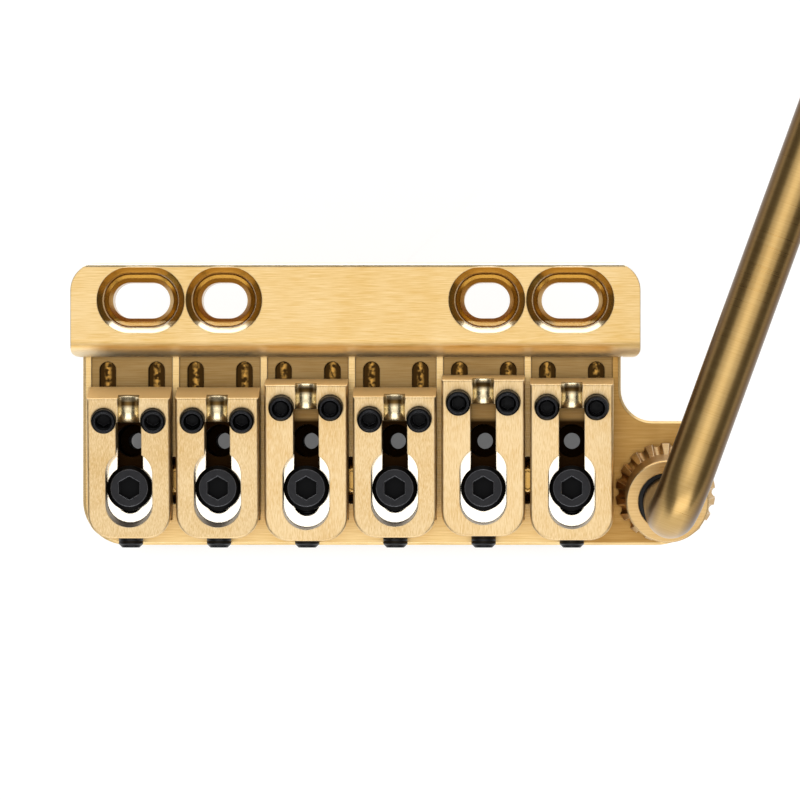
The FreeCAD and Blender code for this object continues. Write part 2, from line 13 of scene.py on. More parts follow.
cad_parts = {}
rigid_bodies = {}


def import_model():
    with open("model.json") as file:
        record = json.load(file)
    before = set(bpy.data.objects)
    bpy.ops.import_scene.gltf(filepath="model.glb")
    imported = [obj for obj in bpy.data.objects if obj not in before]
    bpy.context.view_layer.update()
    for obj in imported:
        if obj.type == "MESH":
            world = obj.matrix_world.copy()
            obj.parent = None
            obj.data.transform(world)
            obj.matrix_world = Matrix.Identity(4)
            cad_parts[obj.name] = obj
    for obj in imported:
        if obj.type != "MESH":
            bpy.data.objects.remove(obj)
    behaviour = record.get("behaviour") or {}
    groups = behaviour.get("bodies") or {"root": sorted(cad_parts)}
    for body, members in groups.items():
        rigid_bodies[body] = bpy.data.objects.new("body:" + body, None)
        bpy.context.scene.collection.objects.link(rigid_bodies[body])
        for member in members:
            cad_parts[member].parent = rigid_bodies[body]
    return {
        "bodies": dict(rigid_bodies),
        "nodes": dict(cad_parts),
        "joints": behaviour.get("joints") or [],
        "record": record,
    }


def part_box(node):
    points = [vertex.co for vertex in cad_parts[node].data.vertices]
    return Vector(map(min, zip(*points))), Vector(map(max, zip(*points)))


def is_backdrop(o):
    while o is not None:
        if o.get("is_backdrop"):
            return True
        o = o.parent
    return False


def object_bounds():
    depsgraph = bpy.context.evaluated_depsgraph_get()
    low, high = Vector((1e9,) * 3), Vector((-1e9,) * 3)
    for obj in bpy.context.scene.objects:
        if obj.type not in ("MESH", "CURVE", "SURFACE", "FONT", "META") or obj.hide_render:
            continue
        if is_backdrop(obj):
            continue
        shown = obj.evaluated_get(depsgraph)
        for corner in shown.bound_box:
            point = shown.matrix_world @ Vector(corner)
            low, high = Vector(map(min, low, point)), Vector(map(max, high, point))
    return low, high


LOG = logging.getLogger("tremolo_bridge")
MM = 0.001
STRING_MIDDLE_MM = -0.5
STRING_PITCH_MM = 10.8
SADDLE_TILTS_DEG = {"low_e": 12.0, "a": 11.0, "d": 6.4, "g": 9.6, "b": 5.0, "high_e": 6.6}

# A Mix node's sockets by number: colours in, colour out, and numbers in
COLOUR_A = 6
COLOUR_B = 7
COLOUR_OUT = 2
NUMBER_A = 2
NUMBER_B = 3

# The span that most of a noise texture's values fall in
NOISE_LOW = 0.3
NOISE_HIGH = 0.7

# How far the softened normal agrees with the true one, away from an edge and on a sharp one
FLAT_AGREES = 0.995
EDGE_AGREES = 0.85

# A wave texture of scale one repeats after this many metres
WAVE_REPEAT = math.pi / 10

Triple = Tuple[float, float, float]
Socket = bpy.types.NodeSocket
Tree = bpy.types.NodeTree


def linear(colour: str) -> Tuple[float, float, float, float]:
    """Turn an sRGB hex colour into linear values.

    Args:
        colour: Six hex digits with a leading hash.

    Returns:
        Linear red, green and blue, and an alpha of one.
    """
    channels = []
    for start in (1, 3, 5):
        value = int(colour[start:start + 2], 16) / 255
        channels.append(value / 12.92 if value <= 0.04045 else ((value + 0.055) / 1.055) ** 2.4)
    return (channels[0], channels[1], channels[2], 1.0)


def add_node(tree: Tree, kind: str, inputs: Optional[Dict[Any, Any]] = None,
             **settings: Any) -> bpy.types.Node:
    """Add a shader node with its settings and links.

    Args:
        tree: The material's or world's node tree.
        kind: Blender's name for the node type.
        inputs: Input socket name or number to an output socket to link, or a value to set.
        settings: Properties of the node itself.

    Returns:
        The new node.
    """
    node = tree.nodes.new(kind)
    for name, value in settings.items():
        setattr(node, name, value)
    for socket, source in (inputs or {}).items():
        if isinstance(source, Socket):
            tree.links.new(source, node.inputs[socket])
        else:
            node.inputs[socket].default_value = source
    return node


def start_material(name: str) -> Tuple[bpy.types.Material, bpy.types.Node, Socket]:
    """Start a material with its shader and its own coordinates.

    Args:
        name: The material's name.

    Returns:
        The material, its shader, and the point's place on the object, in metres.
    """
    made = bpy.data.materials.new(name)
    made.use_nodes = True
    place = add_node(made.node_tree, "ShaderNodeTexCoord").outputs["Object"]
    return made, made.node_tree.nodes["Principled BSDF"], place


def painted_edge_highlight(tree: Tree, radius_mm: float, most: float) -> Tuple[Socket, Socket]:
    """Find the edges, where the softened normal leaves the true one, to lay a painted highlight along them.

    Args:
        tree: The material's node tree.
        radius_mm: How far the painted highlight reaches from an edge.
        most: The mask's value on a sharp edge.

    Returns:
        The normal softened at the edges, and the mask of the painted highlight.
    """
    soft = add_node(tree, "ShaderNodeBevel", {"Radius": radius_mm * MM}, samples=6)
    true = add_node(tree, "ShaderNodeNewGeometry")
    agree = add_node(tree, "ShaderNodeVectorMath",
                     {0: soft.outputs[0], 1: true.outputs["Normal"]}, operation="DOT_PRODUCT")
    highlight_mask = add_node(tree, "ShaderNodeMapRange",
                      {"Value": agree.outputs["Value"], "From Min": FLAT_AGREES, "From Max": EDGE_AGREES,
                       "To Min": 0.0, "To Max": most})
    return soft.outputs[0], highlight_mask.outputs[0]


class Grain(Enum):
    """Which way a brushed surface's fine lines run: across X, along Y, or round the arm."""

    ACROSS = "across"
    ALONG = "along"
    ROUND_ARM = "round_arm"


class Blend(Enum):
    """How a zone's colour meets the finish under it: shading it, or taking its place."""

    SHADE = "MULTIPLY"
    REPLACE = "MIX"


@dataclass(frozen=True)
class Rows:
    """Lines along Y that repeat across X, two to each string, in millimetres."""

    middle: float = STRING_MIDDLE_MM
    pitch: float = STRING_PITCH_MM
    apart: float = 6.0
    half_width: float = 0.5

    def mask(self, tree: Tree, place: Socket) -> Socket:
        """Build a mask that is one along each line and fades to either side.

        Args:
            tree: The material's node tree.
            place: The point's place on the object, in metres.

        Returns:
            The mask's socket.
        """
        parts = add_node(tree, "ShaderNodeSeparateXYZ", {0: place})
        shifted = add_node(tree, "ShaderNodeMath", {0: parts.outputs[0], 1: self.middle * MM},
                           operation="SUBTRACT")
        folded = add_node(tree, "ShaderNodeMath", {0: shifted.outputs[0], 1: self.pitch / 2 * MM},
                          operation="PINGPONG")
        line = (self.pitch - self.apart) / 2 * MM
        away = add_node(tree, "ShaderNodeMath", {0: folded.outputs[0], 1: line}, operation="SUBTRACT")
        size = add_node(tree, "ShaderNodeMath", {0: away.outputs[0]}, operation="ABSOLUTE")
        near = add_node(tree, "ShaderNodeMapRange",
                        {"Value": size.outputs[0], "From Min": self.half_width * MM, "From Max": 0.0})
        return near.outputs[0]


@dataclass(frozen=True)
class Zone:
    """A box, in millimetres, whose faces differ in tint and sheen from the brushed rest.

    A zone with a glint has a painted highlight of that second tint, in specks along its rows.
    """

    low: Triple
    high: Triple
    tint: str
    roughness: float
    blend: Blend = Blend.SHADE
    fade_mm: float = 0.005
    glint: Optional[str] = None
    glint_mm: float = 0.5
    glint_from: float = 0.42
    glint_full: float = 0.62
    rows: Rows = Rows()

    def mask(self, tree: Tree, place: Socket) -> Socket:
        """Build a mask that is one inside the box.

        Args:
            tree: The material's node tree.
            place: The point's place on the object, in metres.

        Returns:
            The mask's socket.
        """
        low, high = Vector(self.low) * MM, Vector(self.high) * MM
        away = add_node(tree, "ShaderNodeVectorMath", {0: place, 1: (low + high) / 2}, operation="SUBTRACT")
        size = add_node(tree, "ShaderNodeVectorMath", {0: away.outputs[0]}, operation="ABSOLUTE")
        over = add_node(tree, "ShaderNodeVectorMath", {0: size.outputs[0], 1: (high - low) / 2},
                        operation="SUBTRACT")
        parts = add_node(tree, "ShaderNodeSeparateXYZ", {0: over.outputs[0]})
        flat = add_node(tree, "ShaderNodeMath", {0: parts.outputs[0], 1: parts.outputs[1]},
                        operation="MAXIMUM")
        worst = add_node(tree, "ShaderNodeMath", {0: flat.outputs[0], 1: parts.outputs[2]},
                         operation="MAXIMUM")
        inside = add_node(tree, "ShaderNodeMapRange",
                          {"Value": worst.outputs[0], "From Min": 0.0, "From Max": -self.fade_mm * MM})
        return inside.outputs[0]

    def apply(self, tree: Tree, place: Socket, colour: Socket, sheen: Socket) -> Tuple[Socket, Socket]:
        """Change a finish inside the box.

        Args:
            tree: The material's node tree.
            place: The point's place on the object, in metres.
            colour: The finish's colour.
            sheen: The finish's roughness.

        Returns:
            The colour and the roughness with the zone laid over them.
        """
        mask = self.mask(tree, place)
        tint = linear(self.tint)
        if self.glint:
            # Painted glints: noise specks of the second tint, kept to the rows
            glint_noise = add_node(tree, "ShaderNodeTexNoise",
                              {"Vector": place, "Scale": 1 / (self.glint_mm * MM), "Detail": 2.0})
            lit = add_node(tree, "ShaderNodeMapRange",
                           {"Value": glint_noise.outputs[0], "From Min": self.glint_from,
                            "From Max": self.glint_full})
            share = add_node(tree, "ShaderNodeMath", {0: lit.outputs[0], 1: self.rows.mask(tree, place)},
                             operation="MULTIPLY")
            tint = add_node(tree, "ShaderNodeMix",
                            {"Factor": share.outputs[0], COLOUR_A: tint, COLOUR_B: linear(self.glint)},
                            data_type="RGBA").outputs[COLOUR_OUT]
        tinted = add_node(tree, "ShaderNodeMix", {"Factor": mask, COLOUR_A: colour, COLOUR_B: tint},
                          data_type="RGBA", blend_type=self.blend.value)
        turned = add_node(tree, "ShaderNodeMix",
                          {"Factor": mask, NUMBER_A: sheen, NUMBER_B: self.roughness}, data_type="FLOAT")
        return tinted.outputs[COLOUR_OUT], turned.outputs[0]


@dataclass(frozen=True)
class FlankShade:
    """Painted shade on a round bar's two flanks, which face sideways to the dim room, while the middle stays
    bright.

    The two limits are how far a face looks sideways, from zero for none to one for fully.
    """

    tint: str
    run_deg: float
    bright: float = 0.45
    dull: float = 0.85

    def apply(self, tree: Tree, colour: Socket) -> Socket:
        """Darken a finish's flanks.

        Args:
            tree: The material's node tree.
            colour: The finish's colour.

        Returns:
            The colour with painted shade laid over its flanks.
        """
        face = add_node(tree, "ShaderNodeTexCoord").outputs["Normal"]
        turn = math.radians(self.run_deg)
        side = add_node(tree, "ShaderNodeVectorMath", {0: face, 1: (math.cos(turn), -math.sin(turn), 0.0)},
                        operation="DOT_PRODUCT")
        size = add_node(tree, "ShaderNodeMath", {0: side.outputs["Value"]}, operation="ABSOLUTE")
        share = add_node(tree, "ShaderNodeMapRange",
                         {"Value": size.outputs[0], "From Min": self.bright, "From Max": self.dull})
        flank_shaded = add_node(tree, "ShaderNodeMix",
                          {"Factor": share.outputs[0], COLOUR_A: colour, COLOUR_B: linear(self.tint)},
                          data_type="RGBA", blend_type="MULTIPLY")
        return flank_shaded.outputs[COLOUR_OUT]


@dataclass(frozen=True)
class BrushedMetal:
    """Metal brushed with fine abrasive: fine lines along the grain, and a painted highlight along the edges.

    The lines are drawn a little coarser than the real ones, which are finer than a pixel.
    """

    name: str
    light: str
    dark: str
    grain: Grain
    line_mm: float = 0.13
    streak_mm: float = 4.0
    roughness: Tuple[float, float] = (0.3, 0.44)
    bump_mm: float = 0.003
    edge_mm: float = 0.16
    # edge is the colour of the painted highlight along the edges, and edge_share how strongly it shows
    edge: str = "#fff0cf"
    edge_share: float = 0.7
    cloud_mm: float = 6.0
    cloud_share: float = 0.3
    dark_at: float = 0.36
    light_at: float = 0.62
    zones: Tuple[Zone, ...] = ()
    turn_deg: float = 0.0
    flank_shade: Optional[FlankShade] = None

    def spacing(self) -> Triple:
        """Size the pattern.

        Returns:
            The pattern's size in metres along its own three axes.
        """
        line, streak = self.line_mm * MM, self.streak_mm * MM
        if self.grain is Grain.ACROSS:
            return (streak, line, line)
        if self.grain is Grain.ALONG:
            return (line, streak, line)
        return (streak, line, streak)

    def material(self) -> bpy.types.Material:
        """Build the material.

        Returns:
            A metal whose colour, roughness and bump follow the brushing.
        """
        made, shader, place = start_material(self.name)
        tree = made.node_tree
        shader.inputs["Metallic"].default_value = 1.0
        lay = add_node(tree, "ShaderNodeMapping",
                       {"Vector": place, "Rotation": (0, 0, math.radians(self.turn_deg)),
                        "Scale": self.spacing()}, vector_type="TEXTURE")
        lines = add_node(tree, "ShaderNodeTexNoise",
                         {"Vector": lay.outputs[0], "Scale": 1.0, "Detail": 3.0, "Roughness": 0.6})
        clouds = add_node(tree, "ShaderNodeTexNoise",
                          {"Vector": place, "Scale": 1 / (self.cloud_mm * MM),
                           "Detail": 2.0, "Roughness": 0.5})
        mixed = add_node(tree, "ShaderNodeMix",
                         {"Factor": self.cloud_share, NUMBER_A: lines.outputs[0],
                          NUMBER_B: clouds.outputs[0]}, data_type="FLOAT")
        tone = add_node(tree, "ShaderNodeValToRGB", {"Fac": mixed.outputs[0]})
        first, last = tone.color_ramp.elements
        first.position = self.dark_at
        first.color = linear(self.dark)
        last.position = self.light_at
        last.color = linear(self.light)
        rough = add_node(tree, "ShaderNodeMapRange",
                         {"Value": mixed.outputs[0], "From Min": NOISE_LOW, "From Max": NOISE_HIGH,
                          "To Min": self.roughness[0], "To Max": self.roughness[1]})
        # Painted highlight along the edges, mixed over the brushed tone
        soft, highlight_mask = painted_edge_highlight(tree, self.edge_mm, self.edge_share)
        edge_highlight_tone = add_node(tree, "ShaderNodeMix",
                        {"Factor": highlight_mask, COLOUR_A: tone.outputs[0], COLOUR_B: linear(self.edge)},
                        data_type="RGBA")
        colour, shine = edge_highlight_tone.outputs[COLOUR_OUT], rough.outputs[0]
        for zone in self.zones:
            colour, shine = zone.apply(tree, place, colour, shine)
        if self.flank_shade:
            colour = self.flank_shade.apply(tree, colour)
        grooves = add_node(tree, "ShaderNodeBump",
                           {"Strength": 0.5, "Distance": self.bump_mm * MM, "Height": lines.outputs[0],
                            "Normal": soft})
        tree.links.new(colour, shader.inputs["Base Color"])
        tree.links.new(shine, shader.inputs["Roughness"])
        tree.links.new(grooves.outputs[0], shader.inputs["Normal"])
        return made


@dataclass(frozen=True)
class BlackOxideSteel:
    """Alloy steel blackened in a hot salt bath: near black, with a faint oily sheen and thread rings."""

    name: str
    colour: str = "#232325"
    edge_highlight_tone: str = "#4a4b4e"
    metallic: float = 0.85
    roughness: Tuple[float, float] = (0.32, 0.46)
    mottle_mm: float = 0.5
    mottle_deep_mm: float = 0.003
    pitch_mm: float = 0.5
    thread_deep_mm: float = 0.12
    edge_mm: float = 0.12
    tilt_deg: float = 0.0
    threaded: bool = True
    zones: Tuple[Zone, ...] = ()

    def material(self) -> bpy.types.Material:
        """Build the material.

        Returns:
            A dark metal with mottled sheen, a painted highlight on its edges and the rings of a fine thread.
        """
        made, shader, place = start_material(self.name)
        tree = made.node_tree
        shader.inputs["Metallic"].default_value = self.metallic
        mottle = add_node(tree, "ShaderNodeTexNoise",
                          {"Vector": place, "Scale": 1 / (self.mottle_mm * MM),
                           "Detail": 4.0, "Roughness": 0.6})
        rough = add_node(tree, "ShaderNodeMapRange",
                         {"Value": mottle.outputs[0], "From Min": NOISE_LOW, "From Max": NOISE_HIGH,
                          "To Min": self.roughness[0], "To Max": self.roughness[1]})
        # Painted highlight along the edges, in the paler tone
        soft, highlight_mask = painted_edge_highlight(tree, self.edge_mm, 1.0)
        tone = add_node(tree, "ShaderNodeMix",
                        {"Factor": highlight_mask, COLOUR_A: linear(self.colour), COLOUR_B: linear(self.edge_highlight_tone)},
                        data_type="RGBA")
        colour, shine = tone.outputs[COLOUR_OUT], rough.outputs[0]
        for zone in self.zones:
            colour, shine = zone.apply(tree, place, colour, shine)
        height = mottle.outputs[0]
        depth = self.mottle_deep_mm
        if self.threaded:
            lay = add_node(tree, "ShaderNodeMapping",
                           {"Vector": place, "Rotation": (math.radians(self.tilt_deg), 0, 0)},
                           vector_type="TEXTURE")
            rings = add_node(tree, "ShaderNodeTexWave",
                             {"Vector": lay.outputs[0], "Scale": WAVE_REPEAT / (self.pitch_mm * MM)},
                             bands_direction="Z")
            height = rings.outputs["Fac"]
            depth = self.thread_deep_mm
        relief = add_node(tree, "ShaderNodeBump",
                          {"Strength": 0.8, "Distance": depth * MM, "Height": height, "Normal": soft})
        tree.links.new(colour, shader.inputs["Base Color"])
        tree.links.new(shine, shader.inputs["Roughness"])
        tree.links.new(relief.outputs[0], shader.inputs["Normal"])
        return made


@dataclass(frozen=True)
class SoftSolid:
    """A moulded plastic or rubber: a matt body with a fine uneven skin.

    One that glows is lit from inside, with painted shade in its glow where another piece stands close over
    it.
    """

    name: str
    colour: str
    shade: str
    roughness: float
    grit_mm: float = 0.15
    skin_mm: float = 0.01
    glow: float = 0.0
    light: str = "#ffffff"
    contact_shade_mm: float = 0.0
    contact_shade: str = "#404040"

    def material(self) -> bpy.types.Material:
        """Build the material.

        Returns:
            A dull, slightly mottled surface.
        """
        made, shader, place = start_material(self.name)
        tree = made.node_tree
        shader.inputs["Roughness"].default_value = self.roughness
        shader.inputs["Emission Color"].default_value = linear(self.light)
        shader.inputs["Emission Strength"].default_value = self.glow
        grit = add_node(tree, "ShaderNodeTexNoise",
                        {"Vector": place, "Scale": 1 / (self.grit_mm * MM), "Detail": 3.0})
        tone = add_node(tree, "ShaderNodeMix",
                        {"Factor": grit.outputs[0], COLOUR_A: linear(self.shade),
                         COLOUR_B: linear(self.colour)}, data_type="RGBA")
        skin = add_node(tree, "ShaderNodeBump",
                        {"Strength": 0.3, "Distance": self.skin_mm * MM, "Height": grit.outputs[0]})
        # Painted shade: the glow dims to the darker tone where another piece stands within reach
        if self.contact_shade_mm:
            open_sky = add_node(tree, "ShaderNodeAmbientOcclusion",
                                {"Distance": self.contact_shade_mm * MM}, samples=8)
            dim = add_node(tree, "ShaderNodeMix",
                           {"Factor": open_sky.outputs["AO"], COLOUR_A: linear(self.contact_shade),
                            COLOUR_B: linear(self.light)}, data_type="RGBA")
            tree.links.new(dim.outputs[COLOUR_OUT], shader.inputs["Emission Color"])
        tree.links.new(tone.outputs[COLOUR_OUT], shader.inputs["Base Color"])
        tree.links.new(skin.outputs[0], shader.inputs["Normal"])
        return made


def dress(frame: Dict[str, Any], node: str, material: bpy.types.Material) -> None:
    """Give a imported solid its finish.

    Args:
        node: The solid's name.
        material: The finish.
    """
    slots = frame["nodes"][node].data.materials
    slots.clear()
    slots.append(material)
    LOG.info("%s in %s", node, material.name)


@dataclass
class MountingBar:
    """The fixed bar with its four countersunk slots, and the pins in its cheeks."""

    top_mm: float = 9.0
    front_mm: float = 4.6
    rear_mm: float = 6.9
    past_ends_mm: float = 40.0
    foot_mm: float = -1.0
    skin_mm: float = 0.02
    slots_reach_mm: float = 33.0
    flare_mm: float = 4.12
    near_wall_mm: float = 2.5
    brow_wide_mm: float = 0.62
    brow_deep_mm: float = 0.7
    brow_past_mm: float = 0.1
    brow_skin_mm: float = 0.01
    nose_wide_mm: float = 1.2
    nose_deep_mm: float = 3.0
    nose_past_mm: float = 1.0

    def zones(self) -> Tuple[Zone, ...]:
        """Mark out the faces that differ from the brushed rest.

        Returns:
            The painted highlight on the rounded rear edge, painted shade in the countersinks, and painted
            highlights on their near walls and the front chamfer.
        """
        reach, ends, under_top = self.slots_reach_mm, self.past_ends_mm, self.top_mm - self.skin_mm
        # Painted highlight along the bar's rounded rear edge
        nose_highlight = Zone((-ends, -self.rear_mm - self.nose_past_mm, self.top_mm - self.nose_deep_mm),
                    (ends, self.nose_wide_mm - self.rear_mm, self.top_mm + self.nose_past_mm),
                    "#fff0d0", 0.55, Blend.REPLACE, fade_mm=0.8)
        # Painted shade in the countersinks: a deeper gold than the brushed top, on a smoother cut surface
        sink_shade = Zone((-reach, -self.flare_mm, self.foot_mm), (reach, self.flare_mm, under_top),
                    "#b8924a", 0.2, Blend.REPLACE)
        # Painted highlight on the countersinks' near walls
        near = Zone((-reach, -self.flare_mm, self.foot_mm), (reach, -self.near_wall_mm, under_top),
                    "#fdf0d2", 0.2, Blend.REPLACE, fade_mm=0.1)
        # Painted highlight along the bar's front top edge
        brow_highlight = Zone((-ends, self.front_mm - self.brow_wide_mm, self.top_mm - self.brow_deep_mm),
                    (ends, self.front_mm + self.brow_past_mm, self.top_mm - self.brow_skin_mm),
                    "#fff1d4", 0.2, Blend.REPLACE)
        return nose_highlight, sink_shade, near, brow_highlight

    def dress(self, frame: Dict[str, Any]) -> None:
        """Brush the bar's outside and leave its countersinks smooth from the cutter, with light and shade
        painted on them and on the bar's edges.
        """
        # Brushed brass gives a pale gold top with fine lines along the bar
        bar = BrushedMetal("brushed_brass_bar", "#f0d29a", "#cfa964", Grain.ACROSS, line_mm=0.1,
                           streak_mm=3.0, zones=self.zones())
        dress(frame, "mounting_bar", bar.material())
        # Ground steel gives a cool grey shine at the bar's ends
        pins = BrushedMetal("ground_steel_pins", "#c9c9cc", "#a5a5a9", Grain.ACROSS, edge="#f0f0f2")
        steel = pins.material()
        dress(frame, "pivot_pins", steel)
        dress(frame, "pivot_bearings", steel)


@dataclass
class RockingPlate:
    """The plate with its saddle pockets, the block below it and the screws in it."""

    row_left_mm: float = -33.0
    row_right_mm: float = 32.0
    floor_mm: float = 5.1
    skin_mm: float = 0.02
    deep_mm: float = 3.0
    pocket_rear_mm: float = -29.5
    pocket_front_mm: float = -2.0
    dim_rear_mm: float = -26.0
    dim_front_mm: float = -14.3
    dim_high_mm: float = 0.62
    groove_rear_mm: float = -18.0
    groove_front_mm: float = -6.95
    groove_skin_mm: float = 0.03
    ear_left_mm: float = 25.0
    ear_right_mm: float = 60.0
    ear_rear_mm: float = -31.0
    ear_front_mm: float = -5.0
    ear_top_mm: float = 5.8
    shade_right_mm: float = 37.5
    shade_rear_mm: float = -60.0
    shade_front_mm: float = 20.0
    shade_skin_mm: float = 0.6
    wells_low: Triple = (-29.8, -19.3, -33.5)
    wells_high: Triple = (28.8, -15.1, 2.3)
    caps_low: Triple = (-40.0, -40.0, -40.0)
    caps_right_mm: float = 40.0
    caps_front_mm: float = 10.0
    cap_top_mm: float = 13.15
    cap_rim_mm: float = 0.05

    def zones(self) -> Tuple[Zone, ...]:
        """Mark out the plate's faces that differ from the brushed rest.

        Returns:
            Painted shade on the pockets' floors, under the saddles and in the grooves, painted glints in the
            grooves, the ear and its shaded side.
        """
        left, right, floor = self.row_left_mm, self.row_right_mm, self.floor_mm
        # Painted shade on the pockets' milled floors
        pockets = Zone((left, self.pocket_rear_mm, floor - self.skin_mm),
                       (right, self.pocket_front_mm, floor + self.skin_mm), "#a89e90", 0.38)
        # Painted shade on the plate under the saddles, fading at its edges
        under = Zone((left, self.dim_rear_mm, self.deep_mm),
                     (right, self.dim_front_mm, floor + self.dim_high_mm), "#453a30", 0.4, fade_mm=0.6)
        # Painted shade darkening the grooves, with painted glints along their middles
        grooves = Zone((left, self.groove_rear_mm, self.deep_mm),
                       (right, self.groove_front_mm, floor - self.groove_skin_mm),
                       "#2e1e0a", 0.2, Blend.REPLACE, glint="#b08440")
        ear = Zone((self.ear_left_mm, self.ear_rear_mm, self.ear_top_mm - self.skin_mm),
                   (self.ear_right_mm, self.ear_front_mm, self.ear_top_mm + self.skin_mm), "#d2c0a0", 0.4)
        shade = Zone((self.ear_left_mm, self.shade_rear_mm, self.ear_top_mm - self.shade_skin_mm),
                     (self.shade_right_mm, self.shade_front_mm, self.ear_top_mm + self.shade_skin_mm),
                     "#b4a48c", 0.4, fade_mm=4.5)
        return pockets, under, grooves, ear, shade

    def dress(self, frame: Dict[str, Any]) -> None:
        """Brush the plate and block, and finish the screws in them.
        """
        # Brushed brass, with painted shade on the pockets' milled floors and under the saddles, and painted
        # shade and glints in the grooves
        plate = BrushedMetal("brushed_brass_plate", "#f0d299", "#d6b273", Grain.ACROSS, zones=self.zones())
        dress(frame, "base_plate", plate.material())
        # Painted shade inside the block's string wells
        wells = Zone(self.wells_low, self.wells_high, "#30261c", 0.5)
        # Brass brushed with a coarser belt, with painted shade inside its drilled string wells
        block = BrushedMetal("brushed_brass_block", "#dfbc82", "#cfa96a", Grain.ACROSS, line_mm=0.14,
                             streak_mm=9.0, roughness=(0.24, 0.34), zones=(wells,))
        dress(frame, "inertia_block", block.material())
        # Painted shade on the cap screws below their top faces, so the sockets look dark
        under_rim = self.cap_top_mm - self.cap_rim_mm
        socket_shade = Zone(self.caps_low, (self.caps_right_mm, self.caps_front_mm, under_rim), "#8c8c8c", 0.5)
        # Black oxide on cap screws gives a dark grey ring with painted highlights on its edges, round a
        # socket darkened by painted shade
        screws = BlackOxideSteel("black_oxide_screws", "#29292b", "#8a8b90", edge_mm=0.2, threaded=False,
                                 zones=(socket_shade,))
        dress(frame, "clamp_screws", screws.material())
        # Polished brass screws deep between the saddles show as small glints
        sunk = BrushedMetal("polished_brass_screws", "#d2ab64", "#b98f4a", Grain.ACROSS,
                            roughness=(0.12, 0.2))
        dress(frame, "block_screws", sunk.material())


@dataclass
class Saddle:
    """One saddle with its two height screws and its intonation screw."""

    name: str
    x_mm: float
    tilt_deg: float
    half_wide_mm: float = 6.0
    height_mm: float = 7.0
    past_mm: float = 1.0
    foot_mm: float = 0.0
    sky_mm: float = 30.0
    ledge_mm: float = 10.1
    ledge_skin_mm: float = 0.04
    ledge_half_mm: float = 2.9
    ledge_rear_mm: float = 1.4
    ledge_front_mm: float = 5.0
    wall_half_mm: float = 2.95
    wall_rear_mm: float = 1.0
    wall_front_mm: float = 5.0
    wall_foot_mm: float = 0.05
    wall_rim_mm: float = 0.03
    groove_mm: float = 1.3
    groove_deep_mm: float = 2.0
    crown_long_mm: float = 7.0
    crest_long_mm: float = 1.3
    crest_past_mm: float = 0.05

    def zones(self) -> Tuple[Zone, ...]:
        """Mark out the faces that differ from the brushed rest, from the saddle's own box.

        Returns:
            Painted light on the front face, painted shade on the slot's end wall, painted highlights on its
            ledge and the string's crown, and a painted dark reflection on the crown's crest.
        """
        low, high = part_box("saddle_" + self.name)
        rear, front, top = low.y / MM, high.y / MM, high.z / MM
        x, tilt = self.x_mm, math.radians(self.tilt_deg)
        lip = front - self.height_mm * math.sin(tilt)
        # Painted light on the front face: a lighter tone in place of the brushed one, on a rougher surface
        face = Zone((x - self.half_wide_mm, lip, self.foot_mm),
                    (x + self.half_wide_mm, front + self.past_mm, self.sky_mm),
                    "#eecb8e", 0.6, Blend.REPLACE)
        wall_top = top - (lip - rear - self.wall_rear_mm) * math.tan(tilt) - self.wall_rim_mm
        # Painted shade on the slot's end wall, dark brown and glossy
        wall = Zone((x - self.wall_half_mm, rear + self.wall_rear_mm, self.ledge_mm + self.wall_foot_mm),
                    (x + self.wall_half_mm, rear + self.wall_front_mm, wall_top),
                    "#5a3a16", 0.3, Blend.REPLACE)
        ledge_low, ledge_high = self.ledge_mm - self.ledge_skin_mm, self.ledge_mm + self.ledge_skin_mm
        # Painted highlight on the smooth ledge: near white over a low roughness
        ledge = Zone((x - self.ledge_half_mm, rear + self.ledge_rear_mm, ledge_low),
                     (x + self.ledge_half_mm, front - self.ledge_front_mm, ledge_high),
                     "#fff6e4", 0.1, Blend.REPLACE)
        valley = top - self.groove_deep_mm
        # Painted highlight on the crown the string polishes: a paler colour over its smoother surface
        crown = Zone((x - self.groove_mm, front - self.crown_long_mm, valley),
                     (x + self.groove_mm, front + self.past_mm, self.sky_mm),
                     "#f3e2ba", 0.25, Blend.REPLACE)
        # Painted dark reflection across the crown just behind its front lip
        crest = Zone((x - self.groove_mm, lip - self.crest_long_mm, valley),
                     (x + self.groove_mm, lip + self.crest_past_mm, self.sky_mm),
                     "#6f5b3d", 0.3, fade_mm=0.5)
        return face, wall, ledge, crown, crest

    def dress(self, frame: Dict[str, Any]) -> None:
        """Brush the saddle lengthwise, paint light and shade on its cut faces and blacken its screws.
        """
        # Brass brushed along the string, with light and shade painted on the front face, the slot and the
        # crown that the string polishes
        brass = BrushedMetal("brushed_brass_saddle_" + self.name, "#ead0a2", "#c9a66e", Grain.ALONG,
                             line_mm=0.1, streak_mm=1.6, zones=self.zones())
        dress(frame, "saddle_" + self.name, brass.material())
        # Black oxide on set screws gives a black socket inside a thin grey rim, a painted edge highlight
        height = BlackOxideSteel("black_oxide_height_" + self.name, "#0e0e0f", "#6a6b70",
                                 tilt_deg=self.tilt_deg).material()
        for side in ("left", "right"):
            dress(frame, "height_screw_" + self.name + "_" + side, height)
        # Black oxide on the intonation screws, whose threads run along the string, with a painted highlight
        # on their edges
        grub = BlackOxideSteel("black_oxide_grub_" + self.name, tilt_deg=90.0).material()
        dress(frame, "intonation_screw_" + self.name, grub)


